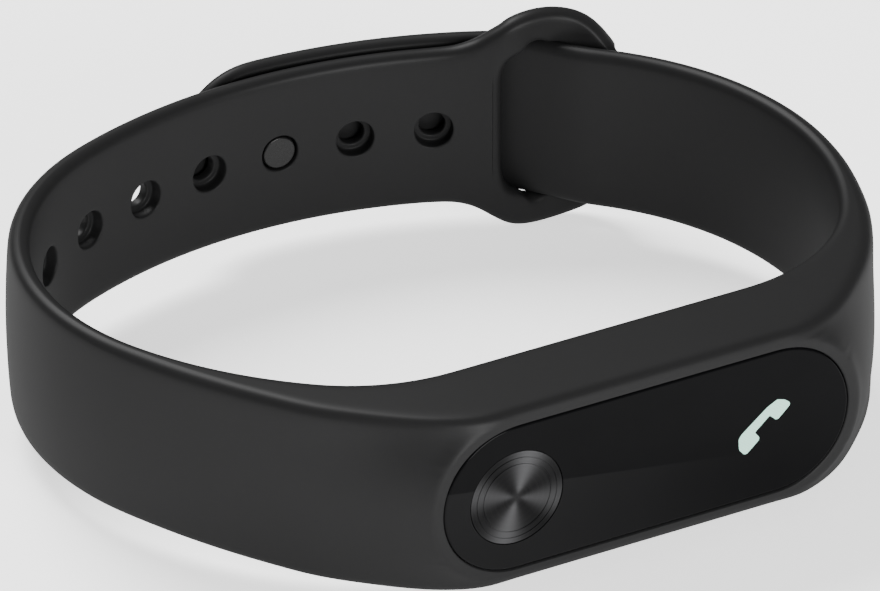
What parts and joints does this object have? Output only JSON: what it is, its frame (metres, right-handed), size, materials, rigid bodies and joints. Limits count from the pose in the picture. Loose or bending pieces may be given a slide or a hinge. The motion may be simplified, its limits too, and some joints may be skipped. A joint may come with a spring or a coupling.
{
  "type": "fitness tracker band",
  "caption": "Closed silicone wrist band with a pill-shaped tracker capsule, touch disc, lit handset icon, stud-and-hole closure and keeper loop.",
  "frame": {"origin": "middle of the base of the bounding box, with the band standing on its edge", "axes": "+Z along the wearer's wrist, -Y out of the lens, +X to the right along the capsule seen from the front"},
  "size_m": [0.0718, 0.0638, 0.0208],
  "materials": {
    "silicone": "matte, fine soft-touch texture",
    "lens": "polished, near black",
    "disc": "concentric brushed, dark",
    "icon": "lit, pale mint",
    "case": "fine spark texture",
    "window": "dark infrared-clear plastic",
    "gold": "gold plated",
    "steel": "satin",
    "board": "solder mask",
    "chip": "moulded, laser marked",
    "flex": "polyimide",
    "foam": "closed-cell foam",
    "adhesive": "adhesive film",
    "panel": "display glass",
    "cell": "pouch foil",
    "emitter": "clear resin"
  },
  "bodies": {
    "strap": {"strap_cradle": "silicone", "holed_arm": "silicone", "tongue_arm": "silicone", "keeper_loop": "silicone", "retaining_lip": "silicone", "stud_hole_rim": "silicone"},
    "tongue": {"tongue_tip": "silicone", "closure_stud": "steel"},
    "rotor": {"motor_rotor": "steel"},
    "capsule": {"front_lens": "lens", "touch_disc": "disc", "lens_adhesive": "adhesive", "upper_case": "case", "case_seal": "foam", "lower_case": "case", "sensor_window": "window", "charging_contacts": "gold", "contact_pins": "gold", "display_panel": "panel", "display_icon": "icon", "display_foam": "foam", "display_flex": "flex", "touch_electrode": "gold", "main_board": "board", "processor_chip": "chip", "memory_chip": "chip", "motion_sensor": "chip", "clock_crystal": "steel", "passive_parts": "chip", "antenna": "steel", "battery_pad": "adhesive", "battery_cell": "cell", "battery_tabs": "steel", "sensor_board": "board", "board_link": "flex", "sensor_leds": "emitter", "photodiode": "chip", "light_baffle": "case", "motor_case": "steel", "motor_cover": "steel", "motor_shaft": "steel"}
  },
  "joints": [
    {"name": "capsule_release", "type": "slide", "parent": "strap", "child": "capsule", "axis": [0, -1, 0], "range_m": [0, 0.014], "deforming": ["retaining_lip"]},
    {"name": "tongue_lift", "type": "hinge", "parent": "strap", "child": "tongue", "pos_m": [0.01219, 0.02833, 0.0104], "axis": [0, 0, -1], "range_deg": [0, 60], "stiffness_Nm_per_rad": 0.002, "deforming": ["stud_hole_rim"]},
    {"name": "motor_spin", "type": "hinge", "parent": "capsule", "child": "rotor", "pos_m": [-0.01065, -0.02667, 0.0104], "axis": [0, 1, 0], "continuous": true}
  ]
}
